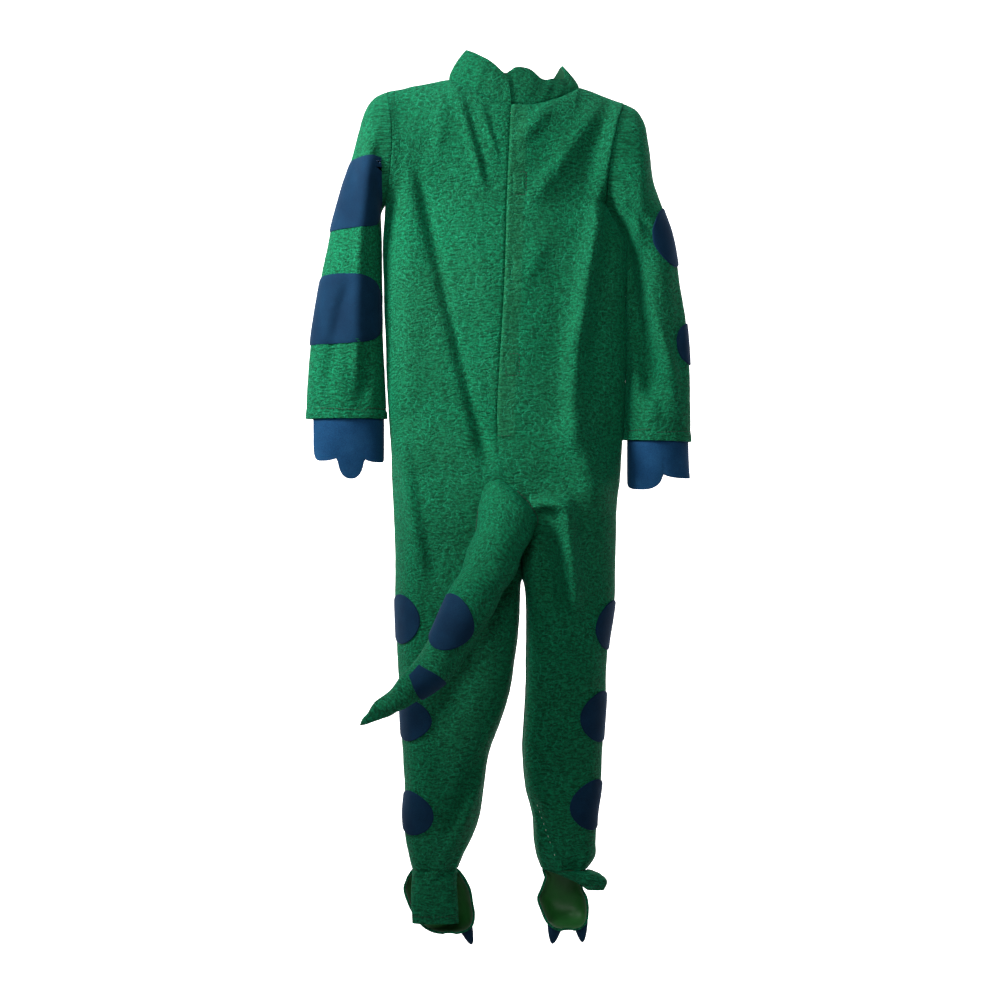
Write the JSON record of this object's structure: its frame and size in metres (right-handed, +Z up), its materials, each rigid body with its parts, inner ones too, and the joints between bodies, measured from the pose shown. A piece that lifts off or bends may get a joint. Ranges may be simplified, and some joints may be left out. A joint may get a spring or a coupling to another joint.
{
  "type": "dinosaur costume",
  "caption": "Child's footed dinosaur jumpsuit in green plush with blue spots, a stuffed tail, scalloped hand covers, claws and a back closure; hollow, as it hangs filled out.",
  "frame": {"origin": "where the suit is held: inside the neck at the height of the shoulder points, over the side seams' plane", "axes": "+Z up along the hanging suit, -Y out of the wearer's back, which the picture shows, +X to the picture's right"},
  "size_m": [0.5005, 0.1952, 1.1639],
  "materials": {
    "green_plush": "short cut-pile plush embossed with a reptile-skin net",
    "green_lining": "smooth knitted wrong side of the plush, olive green",
    "blue_felt": "plain matt brushed knit"
  },
  "bodies": {
    "root": {"back_left": "green_plush", "back_right": "green_plush", "front_left": "green_plush", "front_right": "green_plush", "sleeve_left": "green_plush", "sleeve_right": "green_plush", "collar": "green_plush", "closure_underlap": "green_plush", "tail": "green_plush", "heel_flap_left": "green_plush", "heel_flap_right": "green_plush", "foot_upper_left": "green_lining", "foot_upper_right": "green_lining", "mitt_left": "blue_felt", "mitt_right": "blue_felt", "claw_left_outer": "blue_felt", "claw_left_inner": "blue_felt", "claw_right_inner": "blue_felt", "claw_right_outer": "blue_felt", "sleeve_left_spot_upper": "blue_felt", "sleeve_left_spot_lower": "blue_felt", "sleeve_right_spot_upper": "blue_felt", "sleeve_right_spot_lower": "blue_felt", "leg_left_spot_upper": "blue_felt", "leg_left_spot_middle": "blue_felt", "leg_left_spot_lower": "blue_felt", "leg_right_spot_upper": "blue_felt", "leg_right_spot_middle": "blue_felt", "leg_right_spot_lower": "blue_felt", "tail_spot_upper": "blue_felt", "tail_spot_lower": "blue_felt"}
  },
  "joints": []
}
